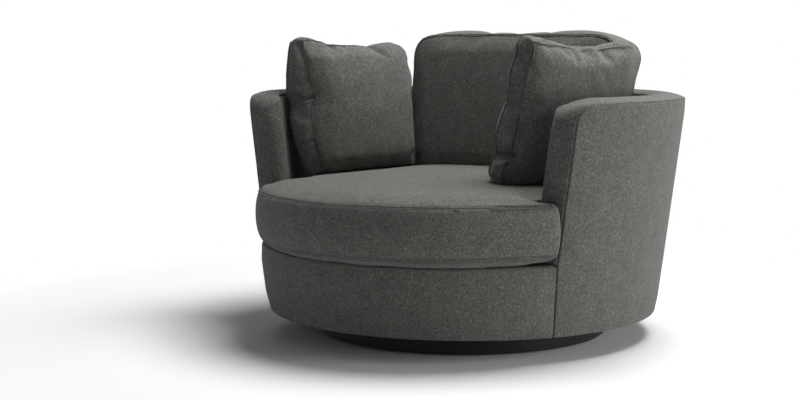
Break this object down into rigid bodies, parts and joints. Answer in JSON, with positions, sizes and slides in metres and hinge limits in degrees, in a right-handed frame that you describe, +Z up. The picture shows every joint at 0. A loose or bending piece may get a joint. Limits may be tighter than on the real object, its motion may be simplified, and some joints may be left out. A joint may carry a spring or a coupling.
{
  "type": "swivel cuddle chair",
  "caption": "Wide round cuddle armchair with a barrel back and arms, a T-shaped seat cushion, a boxed back cushion and throw cushions, turning on a low plinth.",
  "frame": {"origin": "on the floor, on the swivel axis, at the underside of the centre glide", "axes": "+Z up; the chair faces -Y at rest; +X towards the sitter's left hand, which is the right side seen from the front"},
  "size_m": [1.272, 1.2883, 0.8621],
  "materials": {
    "charcoal_fabric": "matt heathered weave with small light flecks",
    "dark_lining": "matt thin lining",
    "webbing": "woven jute band",
    "black_plinth": "matt black stain",
    "frame_timber": "bare sanded",
    "bright_steel": "zinc plated",
    "black_plastic": "moulded"
  },
  "bodies": {
    "base": {"plinth_ring": "black_plinth", "plinth_top_board": "black_plinth", "plinth_brace_long": "frame_timber", "plinth_brace_cross": "frame_timber", "glide_centre": "black_plastic", "glide_right": "black_plastic", "glide_back": "black_plastic", "glide_left": "black_plastic", "glide_front": "black_plastic", "swivel_lower_plate": "bright_steel", "lower_plate_screw_1": "bright_steel", "lower_plate_screw_2": "bright_steel", "lower_plate_screw_3": "bright_steel", "lower_plate_screw_4": "bright_steel", "pivot_bolt": "bright_steel", "pivot_nut": "bright_steel"},
    "ball_race": {"ball_cage": "bright_steel"},
    "chair": {"swivel_upper_plate": "bright_steel", "upper_plate_screw_1": "bright_steel", "upper_plate_screw_2": "bright_steel", "upper_plate_screw_3": "bright_steel", "upper_plate_screw_4": "bright_steel", "base_board": "frame_timber", "back_rib_1": "frame_timber", "back_rib_2": "frame_timber", "back_rib_3": "frame_timber", "back_rib_4": "frame_timber", "back_rib_5": "frame_timber", "back_rib_6": "frame_timber", "back_rib_7": "frame_timber", "arm_post_left": "frame_timber", "arm_post_right": "frame_timber", "top_rail_right": "frame_timber", "top_rail_back": "frame_timber", "top_rail_left": "frame_timber", "back_webbing_1": "webbing", "back_webbing_2": "webbing", "back_webbing_3": "webbing", "front_kick_panel": "frame_timber", "front_spring_rail": "frame_timber", "rear_spring_rail": "frame_timber", "front_post_1": "frame_timber", "front_post_2": "frame_timber", "dust_cover": "dark_lining", "seat_spring_1": "bright_steel", "seat_spring_2": "bright_steel", "seat_spring_3": "bright_steel", "seat_spring_4": "bright_steel", "seat_spring_5": "bright_steel", "seat_spring_6": "bright_steel", "inside_back_pad": "charcoal_fabric", "top_and_arm_band": "charcoal_fabric", "outside_panel": "charcoal_fabric", "front_apron": "charcoal_fabric", "seat_deck": "dark_lining", "seat_cushion": "charcoal_fabric", "back_cushion": "charcoal_fabric", "throw_cushion_left": "charcoal_fabric", "throw_cushion_right": "charcoal_fabric"}
  },
  "joints": [
    {"name": "chair_swivel", "type": "hinge", "parent": "base", "child": "chair", "pos_m": [0, 0, 0.062], "axis": [0, 0, 1], "continuous": true},
    {"name": "ball_race_turn", "type": "hinge", "parent": "base", "child": "ball_race", "pos_m": [0, 0, 0.062], "axis": [0, 0, 1], "continuous": true}
  ],
  "couplings": [
    {"joint": "ball_race_turn", "follows": "chair_swivel", "ratio": 0.5}
  ]
}
